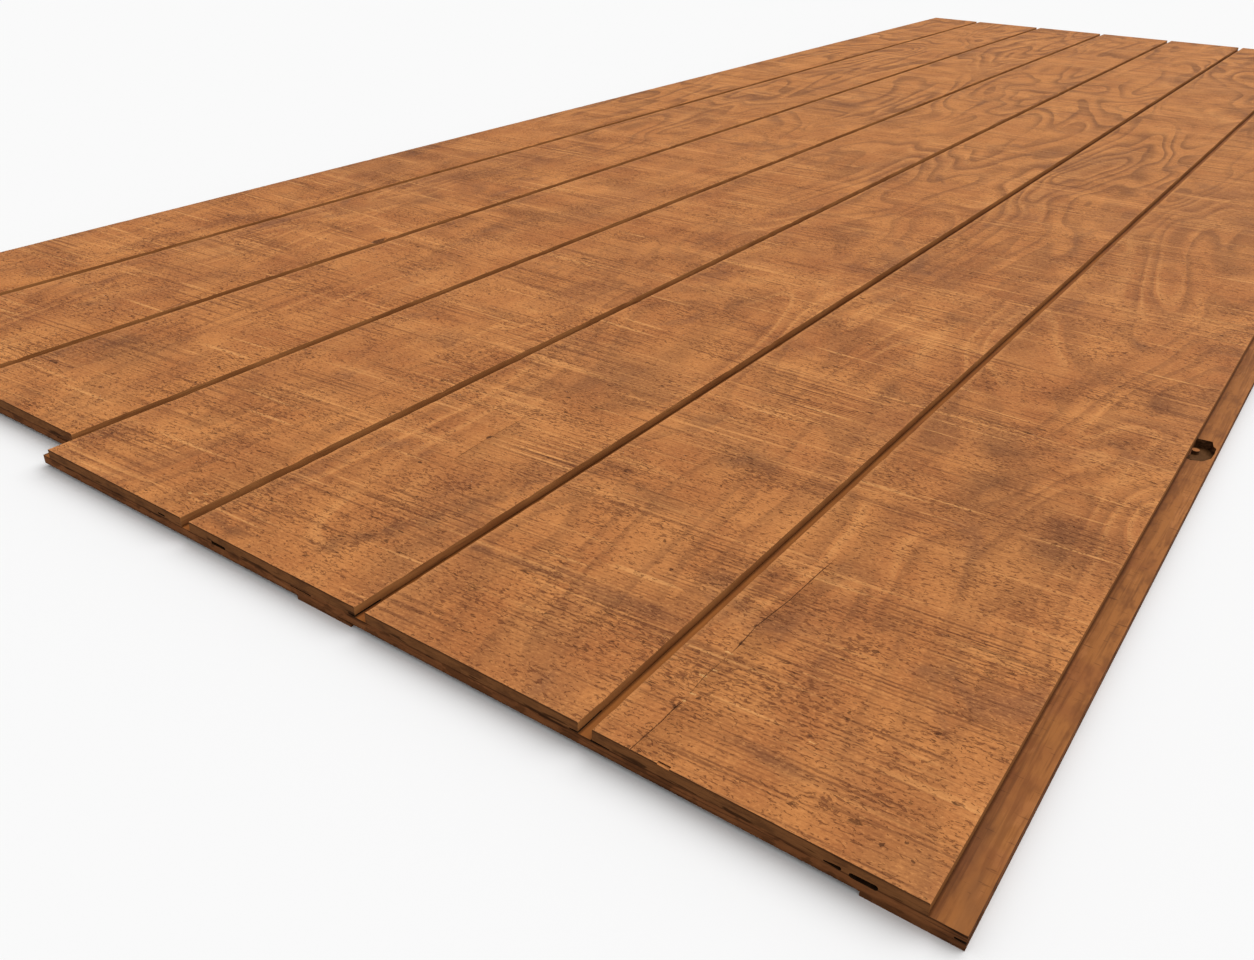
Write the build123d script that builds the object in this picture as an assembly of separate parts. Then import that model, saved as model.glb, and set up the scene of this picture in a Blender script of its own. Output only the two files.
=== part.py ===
"""Grooved plywood panel, one sheet lying face up, in millimetres.

Seven boards run along Y between six grooves. The right long edge has a ledge for the next sheet's lip,
and the left long edge has that lip. The -Y end is the worn one: it is cut back over the left three boards,
its back veneer is torn off, and its core shows gaps. Origin: middle of the sheet, on its back.
"""
import os

from build123d import *

# sheet
WIDTH = 1220.0
LENGTH = 3050.0
THICK = 18.0
BACK_VENEER = 3.0

# face grooves
GROOVES = 6
PITCH = 175.0
GROOVE_WIDTH = 9.5
GROOVE_DEPTH = 8.0
FIRST_BOARD = 125.0
ARRIS = 0.5

# lap joint of the long edges
LEDGE_WIDTH = 19.0
LEDGE_DEPTH = 8.0
LIP_PLAY = 0.5
END_PLAY = 1.5

# worn end
SETBACK = 25.0
SETBACK_BOARDS = 3
TEAR_DEPTH = 28.0
REMNANT_WIDTH = 50.0
CORNER_REMNANT = 52.0
VOID_DEPTH = 22.0

# knot hole in the ledge: its middle from the worn end, and its size
KNOT_AT = 571.0
KNOT_LENGTH = 46.0
KNOT_WIDTH = 17.5
KNOT_DEPTH = 8.0

LEFT = -WIDTH / 2
RIGHT = WIDTH / 2
END = -LENGTH / 2
WALL = RIGHT - LEDGE_WIDTH
LIP_WIDTH = LEDGE_WIDTH - GROOVE_WIDTH + END_PLAY


def groove_left(index):
    """X of the left wall of a groove, counted from 0."""
    return LEFT + FIRST_BOARD + index * PITCH


def block(x0, x1, y0, y1, z0, z1):
    """Box between two corners."""
    size = Box(x1 - x0, y1 - y0, z1 - z0)
    return Pos((x0 + x1) / 2, (y0 + y1) / 2, (z0 + z1) / 2) * size


def section():
    """Cross-section points from the lower left corner round to the left again, as (x, z)."""
    lip_under = THICK - LEDGE_DEPTH + LIP_PLAY
    ledge_top = THICK - LEDGE_DEPTH
    points = [(LEFT + LIP_WIDTH, 0), (RIGHT, 0), (RIGHT, ledge_top), (WALL, ledge_top)]
    points += [(WALL, THICK - ARRIS), (WALL - ARRIS, THICK)]
    for index in reversed(range(GROOVES)):
        x0 = groove_left(index)
        x1 = x0 + GROOVE_WIDTH
        floor = THICK - GROOVE_DEPTH
        points += [(x1 + ARRIS, THICK), (x1, THICK - ARRIS), (x1, floor)]
        points += [(x0, floor), (x0, THICK - ARRIS), (x0 - ARRIS, THICK)]
    points += [(LEFT + ARRIS, THICK), (LEFT, THICK - ARRIS)]
    points += [(LEFT, lip_under), (LEFT + LIP_WIDTH, lip_under)]
    return points


def torn(x0, x1, depths):
    """Missing back veneer between two places along the end: depths is how far in it is gone."""
    step = (x1 - x0) / (len(depths) - 1)
    edge = [(x0 + n * step, END + depth) for n, depth in enumerate(depths)]
    outline = [(x0, END - 1)] + edge + [(x1, END - 1)]
    return extrude(make_face(Polyline(*outline, close=True)), BACK_VENEER)


def void(x0, x1, below_top, high0, high1, end=END, deep=VOID_DEPTH):
    """Gap between plies, open at the end of the sheet: a flat slot with round ends, as high as given at each."""
    left = Pos(x0 + high0 / 2, 0) * Circle(high0 / 2)
    right = Pos(x1 - high1 / 2, 0) * Circle(high1 / 2)
    mouth = make_hull(left.edges() + right.edges())
    place = Pos(0, end, THICK - below_top) * Rot(90, 0, 0)
    return extrude(place * mouth, deep, both=True)


def knot_pit():
    """Knot hole from the ledge's top: uneven outline, floor rising to the near rim, and a stub of the knot."""
    long = KNOT_LENGTH / 2
    wide = KNOT_WIDTH
    far = [(0, 0.25 * long), (0, 0.95 * long), (0.68 * wide, long), (0.82 * wide, 0.6 * long)]
    side = [(0.97 * wide, 0.48 * long), (wide, 0), (0.96 * wide, -0.45 * long)]
    near = [(0.7 * wide, -0.85 * long), (0.22 * wide, -long), (0, -0.95 * long), (0.08 * wide, -0.5 * long)]
    hole = extrude(make_face(Polyline(*far, *side, *near, close=True)), -KNOT_DEPTH)
    ramp = Pos(wide / 2, long, -KNOT_DEPTH) * Rot(-7, 0, 0)
    floor = ramp * Pos(0, -2 * long, -KNOT_DEPTH / 2) * Box(3 * wide, 6 * long, KNOT_DEPTH)
    stub = Pos(0.17 * wide, 0.15 * long, -0.65 * KNOT_DEPTH) * Cylinder(0.18 * wide, 0.8 * KNOT_DEPTH)
    pocket = Pos(0.14 * wide, -0.72 * long, -KNOT_DEPTH / 2) * Cylinder(0.12 * wide, KNOT_DEPTH)
    return hole - floor - stub + pocket


profile = Plane.XZ * make_face(Polyline(*section(), close=True))
panel = extrude(profile, LENGTH / 2, both=True)

# the left boards are cut back, up to the wall of a groove
setback_wall = groove_left(SETBACK_BOARDS - 1)
cut_end = END + SETBACK
panel -= block(LEFT - 1, setback_wall, END - 1, cut_end, -1, THICK + 1)

# the back veneer is left beside one groove and at the corner
remnant_right = groove_left(4) - 5
remnant_left = remnant_right - REMNANT_WIDTH
corner = RIGHT - CORNER_REMNANT
t = TEAR_DEPTH
in_setback = [SETBACK + t * k for k in (0.9, 1.1, 0.8, 1.3, 1.0)]
panel -= torn(LEFT - 1, setback_wall, in_setback)
panel -= torn(setback_wall - 0.01, remnant_left, [in_setback[-1], 1.4 * t, 0.8 * t, 1.2 * t, 0.9 * t])
panel -= torn(remnant_right, corner, [0.8 * t, 1.2 * t, 0.9 * t, 1.3 * t, 0.8 * t])

# gaps in the core, from the left: in the cut-back boards, then one line for each board of the full length
last_board = groove_left(5) + GROOVE_WIDTH
panel -= void(setback_wall - 23, setback_wall + 1, 9.9, 1.0, 1.8, end=cut_end)
panel -= void(setback_wall + 148, setback_wall + 156, 6.2, 1.0, 1.6, deep=VOID_DEPTH / 3)
panel -= void(groove_left(3) + 33, groove_left(3) + 48, 7.6, 2.6, 2.2)
panel -= void(groove_left(3) + 114, groove_left(3) + 134, 9.5, 0.6, 1.0)
panel -= void(remnant_right - 13, remnant_right + 2, THICK - BACK_VENEER + 0.2, 0.8, 1.8)
panel -= void(last_board - 1, last_board + 12, GROOVE_DEPTH + 0.2, 1.4, 0.6)
panel -= void(corner - 20, corner - 10.5, 7.3, 0.9, 2.4)
panel -= void(corner - 6.5, corner + 8.5, 7.9, 3.0, 3.4)
panel -= void(RIGHT - 6, RIGHT + 3, 12.8, 1.2, 1.8)
for index in (4, 5):
    panel -= void(groove_left(index) - 6, groove_left(index) + 2, GROOVE_DEPTH - 0.7, 0.8, 1.4)

# chip out of the top arris
chip = last_board + 42
panel -= void(chip, chip + 8, 0.3, 1.2, 1.8, deep=2)

panel -= Pos(WALL, END + KNOT_AT, THICK - LEDGE_DEPTH) * knot_pit()

panel.label = "grooved_panel"
os.makedirs("parts", exist_ok=True)
export_step(panel, "parts/grooved_panel.step")
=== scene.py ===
"""Grooved plywood siding: one stained sheet with a rough-sawn face, lying face up, worn end to the front."""

import math
import random

import bmesh
import bpy
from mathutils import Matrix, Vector, noise


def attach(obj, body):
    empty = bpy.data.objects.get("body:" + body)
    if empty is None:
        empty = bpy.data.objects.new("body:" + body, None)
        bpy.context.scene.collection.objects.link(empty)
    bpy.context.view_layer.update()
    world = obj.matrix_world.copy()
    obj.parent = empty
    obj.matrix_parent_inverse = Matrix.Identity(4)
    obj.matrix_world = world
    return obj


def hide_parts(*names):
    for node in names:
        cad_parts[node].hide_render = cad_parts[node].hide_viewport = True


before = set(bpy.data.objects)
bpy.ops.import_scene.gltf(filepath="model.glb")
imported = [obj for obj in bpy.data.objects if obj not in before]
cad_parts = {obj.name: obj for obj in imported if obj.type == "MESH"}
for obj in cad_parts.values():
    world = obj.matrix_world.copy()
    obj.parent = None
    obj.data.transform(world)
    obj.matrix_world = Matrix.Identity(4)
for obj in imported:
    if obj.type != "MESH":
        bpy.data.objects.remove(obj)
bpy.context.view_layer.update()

# The camera stands low off the near right corner and looks along the boards, as the photograph does.
lens = bpy.data.cameras.new("photo_lens")
lens.sensor_fit = "HORIZONTAL"
lens.sensor_width = 36.0
lens.lens = 31.659
lens.clip_start = 0.02
lens.clip_end = 60.0
camera = bpy.data.objects.new("photo_camera", lens)
camera.location = (0.66687, -1.88559, 0.42891)
camera.rotation_euler = [math.radians(turn) for turn in (60.287, -1.201, 35.239)]
bpy.context.scene.collection.objects.link(camera)
bpy.context.scene.camera = camera

# The sheet: real plywood siding, plies glued crosswise under a rough-sawn face. Six grooves and the lap
# joint's ledge are routed into it. It is one piece, so this copy of the solid carries every surface.
mm = 0.001
thick = 18 * mm
arris = 0.5 * mm
sheet_left = -610 * mm
sheet_right = 610 * mm
worn_end = -1525 * mm
far_end = 1525 * mm
cut_back_end = worn_end + 25 * mm
first_board = 125 * mm
pitch = 175 * mm
groove_wide = 9.5 * mm
groove_floor = 10 * mm
ledge_wall = sheet_right - 19 * mm
groove_lefts = [sheet_left + first_board + n * pitch for n in range(6)]
board_lefts = [sheet_left] + [left + groove_wide for left in groove_lefts]
board_rights = groove_lefts + [ledge_wall]

shape = bmesh.new()
shape.from_mesh(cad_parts["grooved_panel"].data)
bmesh.ops.remove_doubles(shape, verts=shape.verts, dist=0.001 * mm)
bmesh.ops.dissolve_limit(shape, angle_limit=0.01, verts=shape.verts, edges=shape.edges)


def slice_faces(faces, at, across):
    """Cut the faces by an upright plane, and return the corners that lie on the cut."""
    edges = {edge for face in faces for edge in face.edges}
    corners = {corner for face in faces for corner in face.verts}
    geom = list(corners) + list(edges) + list(faces)
    cut = bmesh.ops.bisect_plane(shape, geom=geom, dist=0.0001 * mm, plane_co=at, plane_no=across)
    kept = [item for item in cut["geom"] if isinstance(item, bmesh.types.BMFace)]
    on_cut = [item for item in cut["geom_cut"] if isinstance(item, bmesh.types.BMVert)]
    return kept, on_cut


# Two checks run with the grain. Each is a line of places, as across and along from the sheet's left worn
# corner in mm, with how deep the split is there; three close columns of the face follow it.
checks = {
    6: [(1034.4, 0, 1.4), (1035.8, 27, 1.6), (1035.7, 41, 1.2), (1036.6, 50, 0.3), (1034.9, 74, 0.6),
        (1036.5, 101, 0.3), (1036.5, 113, 1.0), (1035.4, 133, 0.5), (1036.6, 146, 1.1), (1038.9, 169, 1.0),
        (1040.5, 213, 1.3), (1041.3, 224, 0.5), (1042.0, 250, 0.0)],
    4: [(743.0, 178, 0.0), (742.4, 186, 0.7), (740.1, 222, 1.8), (740.4, 254, 0.7), (740.0, 270, 0.0)],
}
split_wide = 0.5 * mm
column_wide = 27 * mm
beside_check = 8 * mm


def check_at(board, along):
    """Where a board's check lies at a place along the sheet, and how deep it is."""
    line = checks[board]
    along = min(max(along, line[0][1]), line[-1][1])
    for (x0, y0, deep0), (x1, y1, deep1) in zip(line, line[1:]):
        if along <= y1:
            part = (along - y0) / (y1 - y0)
            return x0 + part * (x1 - x0), deep0 + part * (deep1 - deep0)


def is_sawn(face):
    """Whether a face is part of the boards' tops."""
    return face.normal.z > 0.5 and face.calc_center_median().z > thick - arris


for board, (left, right) in enumerate(zip(board_lefts, board_rights)):
    columns = max(2, round((right - left) / column_wide))
    cuts = [left + (right - left) * n / columns for n in range(1, columns)]
    if board in checks:
        middle = sheet_left + checks[board][0][0] * mm
        cuts = [cut for cut in cuts if abs(cut - middle) > beside_check]
        cuts += [middle - split_wide, middle, middle + split_wide]
    for cut in sorted(cuts):
        flat = [face for face in shape.faces if is_sawn(face) and face.normal.z > 0.99]
        here = [face for face in flat if left < face.calc_center_median().x < right]
        slice_faces(here, (cut, 0, 0), (1, 0, 0))


def saw_slant(along):
    """How far the saw's lines lean from square across the sheet, as a slope."""
    return 0.028 + 0.045 * math.sin(5.3 * along + 9.6) + 0.02 * math.sin(9.7 * along + 1.0)


def saw_line_through(x, y):
    """Where the saw's line through a point crosses the middle of the sheet."""
    along = y
    for _ in range(14):
        along = y - saw_slant(along) * x
    return along


row_of = shape.verts.layers.int.new("saw_row")
saw_lines = shape.verts.layers.float_vector.new("saw_lines")
left_to_cut = [face for face in shape.faces if is_sawn(face)]
past_ends = 60 * mm
first_row = worn_end - past_ends
furrow_step = 3.3 * mm
wider_far_off = 1.45 * mm
along = first_row
row = 0
while along < far_end + past_ends:
    slant = saw_slant(along)
    kept, on_cut = slice_faces(left_to_cut, (0, along, 0), (-slant, 1, 0))
    row += 1
    for corner in on_cut:
        corner[row_of] = row
    left_to_cut = [
        face for face in kept
        if face.calc_center_median().y - slant * face.calc_center_median().x > along
    ]
    far = min(1, max(0, (along + 750 * mm) / (500 * mm)))
    along += furrow_step / 2 + wider_far_off * far

# The saw's teeth leave shallow furrows of uneven depth, and wear has nicked the edges of each board. A nick
# that shows has its place, half its length and its depth here, in mm; the small ones come from noise.
furrow_deep = 0.38 * mm
wavy = 0.1 * mm
small_nick = 1.6 * mm
nicks = [(-310, -1000, 14, 2.6), (40, -1261, 6, 1.3), (-135, -1180, 5, 0.7), (215, -1406, 5, 0.6)]
rows = random.Random(18)
furrow = [rows.uniform(0.4, 1.0) if n % 2 else rows.uniform(0.0, 0.25) for n in range(row + 1)]
split_at = {}
face_corners = {corner for face in shape.faces if is_sawn(face) for corner in face.verts}
for corner in face_corners:
    x, y, z = corner.co
    on_top = z > thick - 0.01 * mm
    patch = 0.5 + noise.noise(Vector((x * 9, y * 6, 3.0)))
    streak = 0.5 + noise.noise(Vector((x * 26, y * 140, 11.0)))
    sink = furrow[corner[row_of]] * min(1, max(0.1, patch)) * (0.4 + 0.8 * streak) * furrow_deep
    sink += wavy * (0.5 + 0.5 * noise.noise(Vector((x * 5, y * 4, 7.0))))
    inwards = 0
    for left, right in zip(board_lefts, board_rights):
        inwards += (abs(x - left) < 1.2 * arris) - (abs(x - right) < 1.2 * arris)
    nick = max(0, noise.noise(Vector((x * 13, y * 55, 1.0))) - 0.12) * small_nick * abs(inwards)
    for nick_x, nick_y, nick_long, nick_deep in nicks:
        if abs(x / mm - nick_x) < 1 and abs(y / mm - nick_y) < nick_long:
            nick += nick_deep * mm * (1 - abs(y / mm - nick_y) / nick_long)
    if on_top:
        corner.co.x += inwards * nick
        for board in checks:
            middle = sheet_left + checks[board][0][0] * mm
            if abs(x - middle) < split_wide * 1.5:
                place, deep = check_at(board, (y - worn_end) / mm)
                corner.co.x += sheet_left + place * mm - middle
                if abs(x - middle) < split_wide / 2:
                    sink += deep * mm
                    split_at[corner] = min(1, deep)
        corner.co.z -= max(0.0, sink)
    else:
        corner.co.z -= nick

for corner in shape.verts:
    x, y, z = corner.co
    corner[saw_lines] = (x, saw_line_through(x, y), split_at.get(corner, 0))

# each face takes the finish of what made it: the saw on top and over the worn edges, the cutter in the
# grooves, and bare plies at the ends; the knot hole and the core gaps are painted dark inside, as shade
SAWN, ROUTED, WALL, PLIES, BACK, KNOT = range(6)
knot_x, knot_y = 600 * mm, -954 * mm
knot_wide, knot_long = 9.4 * mm, 24 * mm
knot_low, knot_high = 1.5 * mm, 9.9 * mm
gap_deep = 23 * mm
core_low, core_high = 3.1 * mm, 16 * mm
worn_over = 2.2 * mm
for face in shape.faces:
    middle = face.calc_center_median()
    up = face.normal.z
    if middle.z > thick - worn_over and up > 0.35 and abs(face.normal.y) < 0.6:
        face.material_index = SAWN
        face.smooth = True
    elif up < -0.9 and middle.z < 1 * mm:
        face.material_index = BACK
    elif abs(face.normal.y) > 0.7 or abs(middle.x) > sheet_right - 0.1 * mm or middle.z < 9.5 * mm:
        face.material_index = PLIES
    elif abs(middle.y) > far_end - 30 * mm and abs(up) < 0.7 and len(face.verts) < 5:
        face.material_index = PLIES
    elif abs(face.normal.x) > 0.7:
        face.material_index = WALL
    else:
        face.material_index = ROUTED
    in_knot = abs(middle.x - knot_x) < knot_wide and abs(middle.y - knot_y) < knot_long
    end_here = cut_back_end if middle.x < groove_lefts[2] else worn_end
    in_gap = 0.5 * mm < middle.y - end_here < gap_deep and core_low < middle.z < core_high
    if in_knot and knot_low < middle.z < knot_high or in_gap:
        face.material_index = KNOT
for edge in shape.edges:
    if len({face.material_index for face in edge.link_faces}) > 1:
        edge.smooth = False

skin = bpy.data.meshes.new("grooved_panel_skin")
shape.to_mesh(skin)
shape.free()
panel = bpy.data.objects.new("grooved_panel_face_and_edges", skin)
bpy.context.scene.collection.objects.link(panel)
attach(panel, "root")
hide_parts("grooved_panel")


class Shade:
    """One socket of a finish. Sums on it add Math nodes, and node() adds any other node."""

    def __init__(self, tree, socket=None):
        self.tree = tree
        self.socket = socket

    def node(self, kind, settings, values, output=0):
        """Any node of the tree, with its settings and inputs, and the one of its outputs that is wanted."""
        made = self.tree.nodes.new("ShaderNode" + kind)
        for name, value in settings.items():
            setattr(made, name, value)
        for name, value in values.items():
            if isinstance(value, Shade):
                self.tree.links.new(value.socket, made.inputs[name])
            else:
                made.inputs[name].default_value = value
        return Shade(self.tree, made.outputs[output])

    def sum(self, operation, first, second):
        """A Math node on two values."""
        return self.node("Math", {"operation": operation}, {0: first, 1: second})

    def maths(self, operation):
        """A Math node that takes this value alone."""
        return self.node("Math", {"operation": operation}, {0: self})

    def axis(self, letter):
        """One of the three parts of a place."""
        return self.node("SeparateXYZ", {}, {"Vector": self}, letter)

    def __add__(self, other):
        return self.sum("ADD", self, other)

    def __sub__(self, other):
        return self.sum("SUBTRACT", self, other)

    def __rsub__(self, other):
        return self.sum("SUBTRACT", other, self)

    def __mul__(self, other):
        return self.sum("MULTIPLY", self, other)

    __radd__ = __add__
    __rmul__ = __mul__

    def band(self, low, high):
        """0 below low, 1 above high, and a soft step between."""
        limits = {"Value": self, "From Min": low, "From Max": high}
        return self.node("MapRange", {"interpolation_type": "SMOOTHSTEP"}, limits)

    def stretched(self, across, along, up):
        """A place with its pattern's repeats per metre each way."""
        return self.node("VectorMath", {"operation": "MULTIPLY"}, {0: self, 1: (across, along, up)})

    def cloud(self, detail=2.0, roughness=0.5, distortion=0.0):
        """Noise at this place."""
        values = {"Vector": self, "Scale": 1.0, "Detail": detail, "Roughness": roughness}
        values["Distortion"] = distortion
        return self.node("TexNoise", {"noise_dimensions": "3D"}, values)

    def mixed(self, colour, amount):
        """This colour with another laid over it."""
        return self.node("Mix", {"data_type": "RGBA"}, {0: amount, 6: self, 7: colour}, 2)

    def between(self, low_colour, high_colour):
        """A colour for this value: one at 0, the other at 1."""
        return self.node("Mix", {"data_type": "RGBA"}, {0: self, 6: low_colour, 7: high_colour}, 2)


def stain(red, green, blue):
    """A colour read off a screen, as the light that it sends back."""
    parts = [value / 255 for value in (red, green, blue)]
    light = [part / 12.92 if part <= 0.04045 else ((part + 0.055) / 1.055) ** 2.4 for part in parts]
    return (*light, 1.0)


def new_finish(name, roughness):
    """An empty finish in the sheet's next slot, with its shader and a place on the sheet."""
    finish = bpy.data.materials.new(name)
    finish.use_nodes = True
    skin.materials.append(finish)
    shader = finish.node_tree.nodes["Principled BSDF"]
    shader.inputs["Roughness"].default_value = roughness
    shader.inputs["Specular IOR Level"].default_value = 0.08
    place = Shade(finish.node_tree).node("TexCoord", {}, {}, "Object")
    return shader, place


def lay_on(shader, colour, height, relief):
    """Give the shader its colour, and its height as relief of a given depth."""
    tree = shader.id_data
    tree.links.new(colour.socket, shader.inputs["Base Color"])
    bump = colour.node("Bump", {}, {"Height": height, "Distance": relief, "Strength": 1.0}, "Normal")
    tree.links.new(bump.socket, shader.inputs["Normal"])


# Rough-sawn face: softwood veneer, band-sawn across the grain, with a worn reddish brown oil stain. The
# saw leaves lines, torn pores and bright streaks across the boards; the wood's own figure runs along them.
shader, place = new_finish("rough_sawn_stained_face", 0.72)
saw = place.node("Attribute", {"attribute_name": "saw_lines"}, {}, "Vector")
along = place.axis("Y")
far_part = along.band(-0.8, 0.2)

mottle = place.stretched(16, 10, 1).cloud(4.0, 0.6).band(0.3, 0.7)
colour = mottle.between(stain(181, 112, 63), stain(207, 136, 77))
colour = colour.mixed(stain(216, 147, 83), far_part * 0.3)

# the figure: closed loops of late wood where the veneer was peeled through the growth rings, with lighter
# curls beside them
figure = place.stretched(5.6, 1.5, 1).cloud(2.0, 0.5, 0.5)
figure = figure + (place.stretched(32, 14, 1).cloud(2.0) - 0.5) * 0.02
growth = (figure * 15.0).maths("FRACT")
late_wood = growth.band(0.35, 0.86) * (1 - growth.band(0.88, 0.98))
ring_patch = place.stretched(5, 2.2, 9).cloud(3.0, 0.6).band(0.34, 0.58)
colour = colour.mixed(stain(112, 70, 44), late_wood * ring_patch * (0.34 + 0.3 * far_part))
curl_patch = place.stretched(6, 3, 4).cloud(2.0).band(0.5, 0.64)
curls = growth.band(0.02, 0.1) * (1 - growth.band(0.12, 0.4)) * curl_patch
colour = colour.mixed(stain(232, 162, 96), curls * 0.45)


def shaken(start, scale, reach):
    """A place, moved about by noise, so that a plain outline turns ragged."""
    moved = place.node("TexNoise", {}, {"Vector": place, "Scale": scale, "Detail": 2.0}, "Color")
    moved = moved.node("VectorMath", {"operation": "SUBTRACT"}, {0: moved, 1: (0.5, 0.5, 0.5)})
    moved = moved.node("VectorMath", {"operation": "SCALE"}, {0: moved, "Scale": reach})
    return place.node("VectorMath", {"operation": "ADD"}, {0: start, 1: moved})


def spots(marks, ragged, core):
    """Where marks lie, each as x, y, half its width and half its length in mm, and solid out to its core."""
    covered = None
    for x, y, wide, long in marks:
        values = {"Vector": ragged, "Location": (-x / wide, -y / long, 0)}
        values["Scale"] = (1 / (wide * mm), 1 / (long * mm), 0)
        away = ragged.node("Mapping", {}, values)
        away = away.node("VectorMath", {"operation": "LENGTH"}, {0: away}, "Value")
        mark = 1 - away.band(core, 1.1)
        covered = mark if covered is None else covered + mark
    return covered


def along_saw(marks):
    """The marks again, each where the saw's line through it crosses the middle of the sheet."""
    return [(x, saw_line_through(x * mm, y * mm) / mm, wide, long) for x, y, wide, long in marks]


# the smoky cast that the stain has left: a dim one over wide areas, small patches, and the sheet's darkest
smoke = place.stretched(6, 3.6, 5).cloud(4.0, 0.62, 0.6).band(0.47, 0.72)
colour = colour.mixed(stain(122, 80, 56), smoke * 0.34)
smudge = place.stretched(15, 9, 8).cloud(3.0, 0.55, 1.0).band(0.57, 0.74)
colour = colour.mixed(stain(116, 78, 58), smudge * 0.45)
dark_places = [(477, -1064, 36, 44), (476, -1127, 28, 32), (550, -898, 25, 38), (551, -1188, 26, 48),
               (353, -1023, 16, 50), (328, -1204, 32, 28), (143, -908, 22, 60), (338, -819, 24, 26),
               (294, -1308, 28, 26), (75, -1508, 32, 9), (-388, -830, 26, 36), (-265, -1370, 14, 45)]
dark = spots(dark_places, shaken(place, 24.0, 56 * mm), 0.0)
colour = colour.mixed(stain(112, 70, 45), dark * 0.62)
dim_places = [(530, -1180, 75, 110), (-255, -1375, 75, 60), (305, -1185, 60, 55), (160, -1150, 60, 70)]
dim = spots(dim_places, shaken(place, 9.0, 140 * mm), 0.0)
colour = colour.mixed(stain(120, 78, 50), dim * 0.34)
dark_curve = [(150, -1486, 15, 13), (161, -1467, 12, 16), (170, -1446, 10, 18), (180, -1422, 9, 18),
              (190, -1396, 9, 20), (199, -1370, 9, 20), (205, -1338, 9, 22), (211, -1306, 8, 20)]
curved = spots(dark_curve, shaken(place, 40.0, 30 * mm), 0.1)
colour = colour.mixed(stain(108, 70, 48), curved * 0.5)
dark_bands = [(232, -1430, 28, 7), (282, -1422, 42, 9), (345, -1421, 50, 13), (492, -1487, 42, 9)]
banded = spots(along_saw(dark_bands), shaken(saw, 30.0, 18 * mm), 0.1)
colour = colour.mixed(stain(112, 72, 50), banded * 0.55)

# the saw's marks: furrows as the mesh has them, and dark lines, darker where the stain has gathered and
# with painted shade; scuffed bright ones, partly painted highlights; they show more in the clear places
clear_places = [(325, -1440, 80, 55), (165, -1425, 50, 30), (480, -1400, 60, 30), (545, -1330, 50, 30),
                (320, -1080, 60, 60), (60, -1470, 60, 25), (180, -1290, 60, 40), (20, -1220, 50, 40)]
clear = spots(along_saw(clear_places), shaken(saw, 18.0, 60 * mm), 0.2)
waver = saw.stretched(26, 60, 1).cloud(2.0) * 5.0
beat = (saw.axis("Y") - first_row) * (2 * math.pi / furrow_step) + waver
comb = 0.5 - beat.maths("COSINE") * 0.5
lines = saw.stretched(6, 270, 1).cloud(3.0, 0.58)
line_patch = saw.stretched(8, 12, 1).cloud(3.0, 0.6)
dark_lines = (lines + comb * 0.06).band(0.53, 0.66) * (line_patch.band(0.4, 0.58) + clear * 0.5)
comb_patch = saw.stretched(12, 50, 3).cloud(3.0, 0.6).band(0.46, 0.62)
comb_lines = comb.band(0.5, 1.0) * (comb_patch + clear)
light_band = saw.stretched(2.4, 17, 12).cloud(3.0, 0.6).band(0.48, 0.64)
scuffs = saw.stretched(6, 240, 6).cloud(2.0, 0.5)
bright_lines = scuffs.band(0.5, 0.66) * (light_band + clear * 0.7)
scratches = saw.stretched(8, 150, 9).cloud(1.0).band(0.66, 0.76)
colour = colour.mixed(stain(212, 142, 84), light_band * 0.22)
# gathered stain and painted shade in the furrows
colour = colour.mixed(stain(112, 64, 38), comb_lines * (0.3 - 0.16 * far_part))
colour = colour.mixed(stain(110, 64, 38), dark_lines * 0.6)
# scuffed bright lines, partly painted highlights
colour = colour.mixed(stain(232, 162, 96), bright_lines * 0.6)
colour = colour.mixed(stain(236, 168, 102), scratches * 0.6)

# torn pores, thick in some patches and few in others
pore_patch = saw.stretched(11, 18, 1).cloud(3.0, 0.6)
pore_spots = saw.stretched(190, 460, 1).cloud(2.0, 0.55, 1.2)
pores = (pore_spots + (pore_patch - 0.5) * 0.4).band(0.57, 0.66)
big_spots = saw.stretched(110, 260, 4).cloud(1.0, 0.5, 0.8)
big_pores = (big_spots + (pore_patch - 0.5) * 0.3).band(0.7, 0.77)
colour = colour.mixed(stain(112, 62, 36), pores * (0.72 - 0.38 * far_part))
colour = colour.mixed(stain(72, 38, 21), big_pores * (0.7 - 0.4 * far_part))

# fuzzy fibres
speckle = saw.stretched(260, 560, 1).cloud(3.0, 0.75)
colour = colour.mixed(stain(122, 72, 43), speckle.band(0.5, 0.7) * 0.45)
colour = colour.mixed(stain(232, 160, 96), (1 - speckle.band(0.32, 0.48)) * 0.42)

# worn edges and painted highlights: lighter where a hand or a strap rubs, and painted bright along the edges
# as highlights, wider on the side of each board that the light catches
x_place = place.axis("X")
over = ((x_place - board_lefts[1]) * (1 / pitch)).maths("FRACT")
board_wide = (pitch - groove_wide) / pitch
left_edge_wear_and_highlight = 1 - over.band(0.0, 6.5 * mm / pitch)
right_edge_wear_and_highlight = over.band(board_wide - 1.8 * mm / pitch, board_wide - 0.4 * mm / pitch)
not_last = 1 - x_place.band(500 * mm, 520 * mm)
ledge_edge_wear_and_highlight = x_place.band(ledge_wall - 2.2 * mm, ledge_wall - 0.6 * mm)
full_length = x_place.band(groove_lefts[2] - 0.5 * mm, groove_lefts[2])
end_line = full_length * (worn_end - cut_back_end) + cut_back_end
end_edge_wear_and_highlight = 1 - (along - end_line).band(0.6 * mm, 2.2 * mm)
rub_patch = place.stretched(60, 24, 1).cloud(3.0, 0.6).band(0.3, 0.6)
# the edges painted lighter: part wear, part painted highlight
edge_wear_and_highlight = (left_edge_wear_and_highlight * 0.34 + right_edge_wear_and_highlight * 0.08) * not_last + ledge_edge_wear_and_highlight * 0.12 + end_edge_wear_and_highlight * 0.12
edge_wear_and_highlight = edge_wear_and_highlight * (0.4 + 0.6 * rub_patch)
colour = colour.mixed(stain(234, 160, 96), edge_wear_and_highlight)
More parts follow.
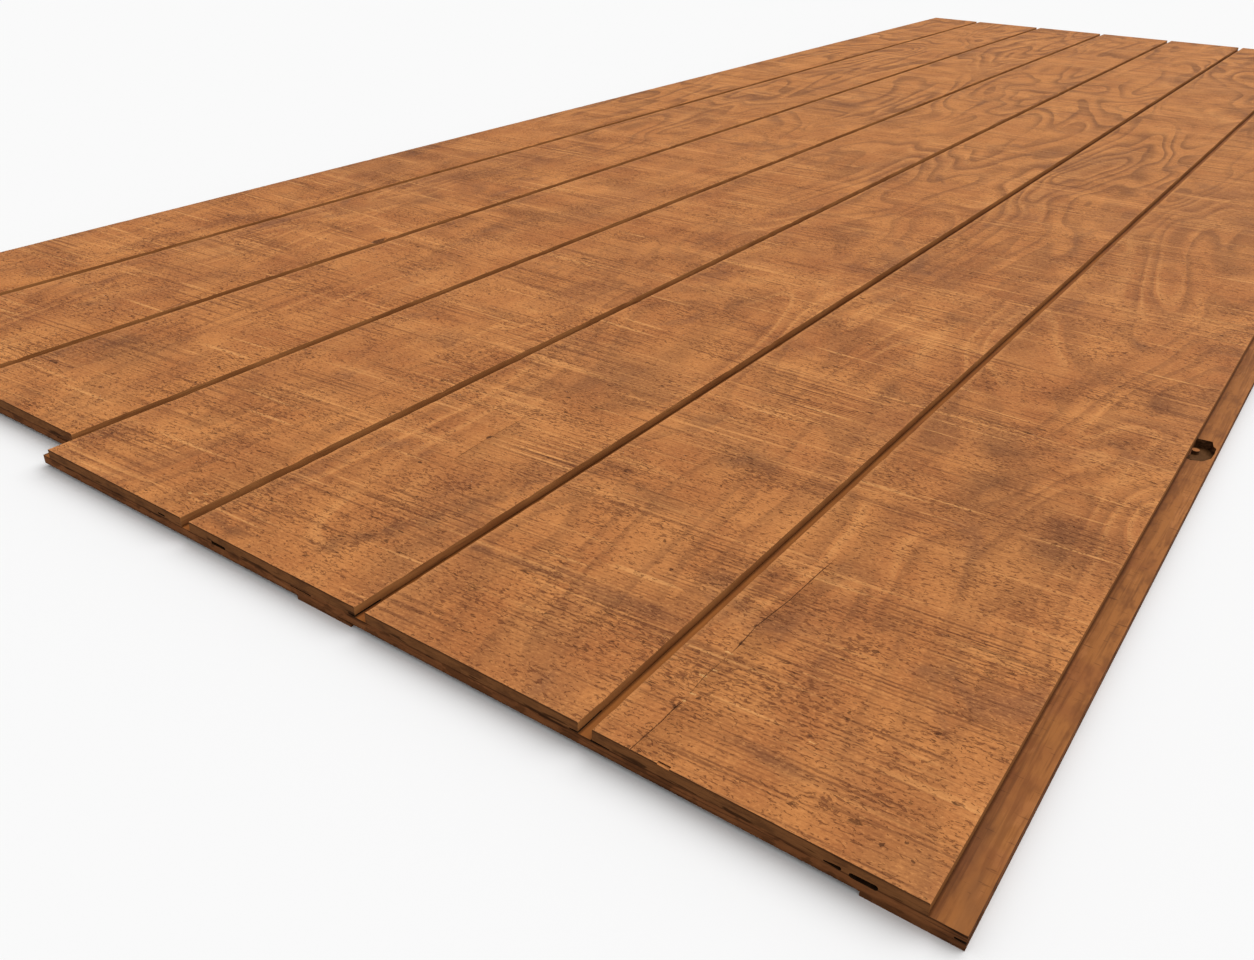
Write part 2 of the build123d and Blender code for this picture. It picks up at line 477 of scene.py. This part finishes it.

# chips of bare wood and dark pits beside the checks, and the checks themselves; the pits and the checks are
# painted dark inside, as shade
ragged = shaken(place, 420.0, 4 * mm)
chips = [(427, -1476, 1.5, 1.0), (428, -1468, 3.2, 1.0), (424, -1451, 3.0, 0.9), (427, -1443, 2.0, 0.8),
         (425, -1424, 3.0, 0.8), (500, -1463, 2.2, 0.8), (17, -1500, 1.8, 1.4), (27, -1494, 3, 0.8)]
pits = [(425.5, -1483, 2.0, 1.4), (421, -1481, 2.8, 0.8), (426.5, -1412, 1.0, 2.2), (425.4, -1392, 1.0, 2.6),
        (429, -1457, 1.6, 0.9), (130, -1303, 2.0, 4), (134, -1300, 4, 1.0), (559, -1506, 1.6, 1.4),
        (575, -1507, 1.5, 1.3), (568, -1498, 1.2, 1.0), (497, -1459, 1.8, 0.8), (-312, -1000, 3.0, 14.0)]
colour = colour.mixed(stain(230, 172, 108), spots(chips, ragged, 0.6) * 0.85)
# painted shade in the pits along the checks
colour = colour.mixed(stain(70, 39, 22), spots(pits, ragged, 0.6) * 0.75)
split = saw.axis("Z")
# painted shade inside the checks
colour = colour.mixed(stain(44, 24, 14), split.band(0.12, 0.6) * 0.9)

height = lines * 0.5 + speckle * 0.5 - pores * 0.6 - big_pores
lay_on(shader, colour, height, 0.5 * mm)

# Routed floors: the grooves' floors and the lap joint's ledge, cut smooth along the grain of the next ply.
shader, place = new_finish("routed_groove_floor_and_ledge", 0.6)
grain = place.stretched(330, 9, 330).cloud(4.0, 0.65, 0.3)
blotch = place.stretched(40, 11, 30).cloud(3.0, 0.6)
cloudy = place.stretched(9, 14, 30).cloud(3.0, 0.6)
x_place = place.axis("X")
end_grime = 1 - place.axis("Y").band(-1.51, -1.32)
on_ledge = x_place.band(ledge_wall - 1 * mm, ledge_wall)
colour = blotch.band(0.35, 0.65).between(stain(150, 90, 41), stain(170, 106, 51))
colour = colour.mixed(stain(171, 109, 57), on_ledge * 0.8)
# painted shade on the ledge along the foot of its wall
ledge_wall_foot_shade = (1 - x_place.band(ledge_wall + 1 * mm, ledge_wall + 9 * mm)) * on_ledge
colour = colour.mixed(stain(112, 66, 34), ledge_wall_foot_shade * 0.42)
stained = place.stretched(70, 26, 1).cloud(3.0, 0.65)
colour = colour.mixed(stain(104, 60, 33), stained.band(0.5, 0.66) * on_ledge * 0.5)
colour = colour.mixed(stain(196, 128, 74), (1 - stained.band(0.34, 0.46)) * on_ledge * 0.4)
streaks = place.stretched(240, 13, 1).cloud(3.0, 0.6, 0.6).band(0.5, 0.64)
colour = colour.mixed(stain(112, 64, 32), streaks * on_ledge * 0.42)
scored = place.stretched(60, 420, 1).cloud(2.0, 0.6).band(0.64, 0.7)
colour = colour.mixed(stain(70, 38, 20), scored * on_ledge * 0.5)
colour = colour.mixed(stain(140, 80, 46), cloudy.band(0.5, 0.68) * 0.45)
colour = colour.mixed(stain(96, 56, 30), grain.band(0.5, 0.72) * 0.5)
colour = colour.mixed(stain(100, 64, 44), end_grime * (0.1 + 0.3 * blotch.band(0.45, 0.6)) * on_ledge)
# painted shade: a dark line along the foot of each groove's left wall and of the ledge's wall
over = ((x_place - groove_lefts[0]) * (1 / pitch)).maths("FRACT")
wall_foot_shade_line = (1 - over.band(0.4 * mm / pitch, 2.4 * mm / pitch)) * (1 - on_ledge)
wall_foot_shade_line = wall_foot_shade_line + on_ledge * (1 - x_place.band(ledge_wall + 0.3 * mm, ledge_wall + 1.8 * mm))
colour = colour.mixed(stain(76, 38, 10), wall_foot_shade_line * 0.7)
lay_on(shader, colour, grain, 0.2 * mm)

# Routed walls: the cutter crosses the face plies, whose rough edges have soaked up more stain; their foot is
# painted darker, as shade, and the ledge's wall is painted darker, as shade.
shader, place = new_finish("routed_wall", 0.7)
grain = place.stretched(300, 26, 520).cloud(4.0, 0.65, 0.3)
blotch = place.stretched(20, 14, 60).cloud(3.0, 0.6)
colour = blotch.band(0.35, 0.65).between(stain(158, 104, 59), stain(182, 126, 74))
colour = colour.mixed(stain(92, 56, 32), grain.band(0.52, 0.72) * 0.5)
level = place.axis("Z")
# the ledge's wall painted darker, as shade
on_ledge = place.axis("X").band(ledge_wall - 1 * mm, ledge_wall - 0.1 * mm)
colour = colour.mixed(stain(74, 43, 22), on_ledge * 0.22)
# painted shade at the walls' foot
foot = (1 - level.band(groove_floor, groove_floor + 6 * mm)) * 0.4
foot = foot + (1 - level.band(groove_floor + 0.4 * mm, groove_floor + 1.8 * mm)) * 0.4
colour = colour.mixed(stain(74, 38, 12), foot)
lay_on(shader, colour, grain, 0.25 * mm)

# Ply edges: the plies show as layers at the sheet's ends and long edges, with dark glue lines between them.
shader, place = new_finish("ply_edges", 0.75)
level = place.axis("Z")
wander = place.stretched(11, 11, 1).cloud(2.0) - 0.5
wander = wander * (5 * mm) + (place.stretched(70, 70, 1).cloud(3.0, 0.6) - 0.5) * (1.6 * mm)
fibres = place.stretched(120, 120, 800).cloud(4.0, 0.65)
blotch = place.stretched(34, 34, 120).cloud(3.0, 0.6)
ply_level = level + wander * 0.3
upper = ply_level.band(9.7 * mm, 10.5 * mm)
colour = upper.between(stain(146, 90, 52), stain(150, 97, 56))
colour = colour.mixed(stain(176, 112, 67), blotch.band(0.52, 0.66) * 0.35 * (1 - upper * 0.5))
colour = colour.mixed(stain(98, 60, 36), (1 - blotch.band(0.36, 0.5)) * 0.5)
patches = place.stretched(75, 75, 150).cloud(2.0, 0.5)
colour = colour.mixed(stain(74, 43, 22), patches.band(0.54, 0.6) * 0.45 * (1 - upper * 0.6))
colour = colour.mixed(stain(160, 104, 62), (1 - patches.band(0.38, 0.45)) * 0.3 * (1 - upper * 0.6))
parted = place.stretched(34, 34, 330).cloud(2.0, 0.5).band(0.57, 0.63)
at_joint = ply_level.band(7.6 * mm, 8.8 * mm) * (1 - ply_level.band(12 * mm, 13.4 * mm))
colour = colour.mixed(stain(46, 24, 10), parted * at_joint * 0.75)
colour = colour.mixed(stain(86, 52, 31), fibres.band(0.5, 0.7) * 0.4)
ply_thick = 3.1 * mm
ply_beat = (level + wander) * (2 * math.pi / ply_thick)
ply_grain = ply_beat.maths("SINE").band(0.6, 1.0)
ply_patch = place.stretched(16, 16, 40).cloud(2.0).band(0.47, 0.6) * (1 - upper * 0.65)
colour = colour.mixed(stain(70, 41, 24), ply_grain * ply_patch * 0.5)
off_glue = level + wander * 0.4 - groove_floor + 0.6 * mm
glue = 1 - off_glue.maths("ABSOLUTE").band(0.2 * mm, 0.75 * mm)
glue_patch = place.stretched(20, 20, 1).cloud(3.0, 0.6).band(0.36, 0.54)
colour = colour.mixed(stain(46, 25, 11), glue * glue_patch * 0.6)
# darker in a thin line just under the top edge
top_edge_dark_line = level.band(thick - 1.6 * mm, thick - 0.9 * mm)
colour = colour.mixed(stain(66, 39, 22), top_edge_dark_line * 0.6)
foot = 1 - level.band(3 * mm, 5 * mm)
colour = colour.mixed(stain(84, 50, 28), foot * 0.4)
lay_on(shader, colour, fibres - ply_grain * ply_patch * 0.6, 0.4 * mm)

# Back veneer: plain unsawn softwood under a thin dry stain. It was peeled too, so long loops of late wood
# run along the sheet.
shader, place = new_finish("back_veneer", 0.8)
grain = place.stretched(240, 6, 1).cloud(4.0, 0.65, 0.3)
blotch = place.stretched(6, 2, 1).cloud(3.0, 0.6)
colour = blotch.band(0.3, 0.7).between(stain(172, 116, 70), stain(196, 144, 92))
figure = place.stretched(5.0, 0.7, 1).cloud(2.0, 0.5, 0.3) + (grain - 0.5) * 0.012
growth = (figure * 22.0).maths("FRACT")
late_wood = growth.band(0.3, 0.86) * (1 - growth.band(0.9, 0.98))
colour = colour.mixed(stain(138, 84, 46), late_wood * 0.55)
colour = colour.mixed(stain(118, 72, 42), grain.band(0.5, 0.68) * 0.5)
lay_on(shader, colour, grain, 0.15 * mm)

# Knot hole and core gaps: a loose knot has fallen out of the ledge, and plies have parted at the worn end.
# Both are painted dark inside, as shade, and the faces in the hole that look up are painted lighter, as lit.
# A stub of the knot still stands in the hole.
shader, place = new_finish("knot_hole_and_core_gaps", 0.8)
grain = place.stretched(240, 90, 420).cloud(4.0, 0.65)
colour = grain.band(0.4, 0.7).between(stain(70, 44, 25), stain(112, 76, 48))
lit_from_above = place.node("NewGeometry", {}, {}, "Normal").axis("Z").band(0.5, 0.9)
in_ledge = place.axis("Y").band(-1.3, -1.2)
# painted shade: the core gaps near black inside
colour = colour.mixed(stain(20, 12, 7), (1 - in_ledge) * 0.7)
# painted light: faces in the knot hole that look up
colour = colour.mixed(stain(104, 68, 34), lit_from_above * in_ledge * 0.6)
level = place.axis("Z")
stub_top = level.band(7.8 * mm, 7.9 * mm) * (1 - level.band(8.1 * mm, 8.2 * mm))
# the stub's top painted bright, as lit
colour = colour.mixed(stain(186, 120, 70), stub_top * lit_from_above * in_ledge * 0.85)
lay_on(shader, colour, grain, 0.25 * mm)

# The studio: a pale floor, near white to the camera, that gives little light back; an even soft room; and
# one broad lamp high behind the sheet to its right, which throws the near edge's soft shadow to the front.
white = 0.956
grey = 0.3
room_light = 0.58
bpy.ops.mesh.primitive_plane_add(size=80.0)
floor = bpy.context.object
floor.name = "studio_floor"
paper = bpy.data.materials.new("studio_paper")
paper.use_nodes = True
floor.data.materials.append(paper)
paper_shader = paper.node_tree.nodes["Principled BSDF"]
paper_shader.inputs["Roughness"].default_value = 1.0
paper_shader.inputs["Specular IOR Level"].default_value = 0.0
seen = Shade(paper.node_tree).node("LightPath", {}, {}, "Is Camera Ray")
tone = seen.between((grey, grey, grey, 1), (white, white, white, 1))
paper.node_tree.links.new(tone.socket, paper_shader.inputs["Base Color"])

world = bpy.data.worlds.new("studio_room")
bpy.context.scene.world = world
world.use_nodes = True
room = world.node_tree.nodes["Background"]
seen = Shade(world.node_tree).node("LightPath", {}, {}, "Is Camera Ray")
world.node_tree.links.new((seen * (white - room_light) + room_light).socket, room.inputs["Strength"])
room.inputs["Color"].default_value = (1, 1, 1, 1)

lamp_share = 0.42
from_upright = math.radians(34)
towards_right = math.radians(28)
lamp_data = bpy.data.lights.new("broad_lamp", "SUN")
lamp_data.angle = math.radians(57)
lamp_data.energy = lamp_share * math.pi / math.cos(from_upright)
lamp = bpy.data.objects.new("broad_lamp", lamp_data)
lamp.rotation_euler = (-from_upright, 0, -towards_right)
bpy.context.scene.collection.objects.link(lamp)

bpy.context.scene.view_settings.view_transform = "Standard"
bpy.context.view_layer.update()
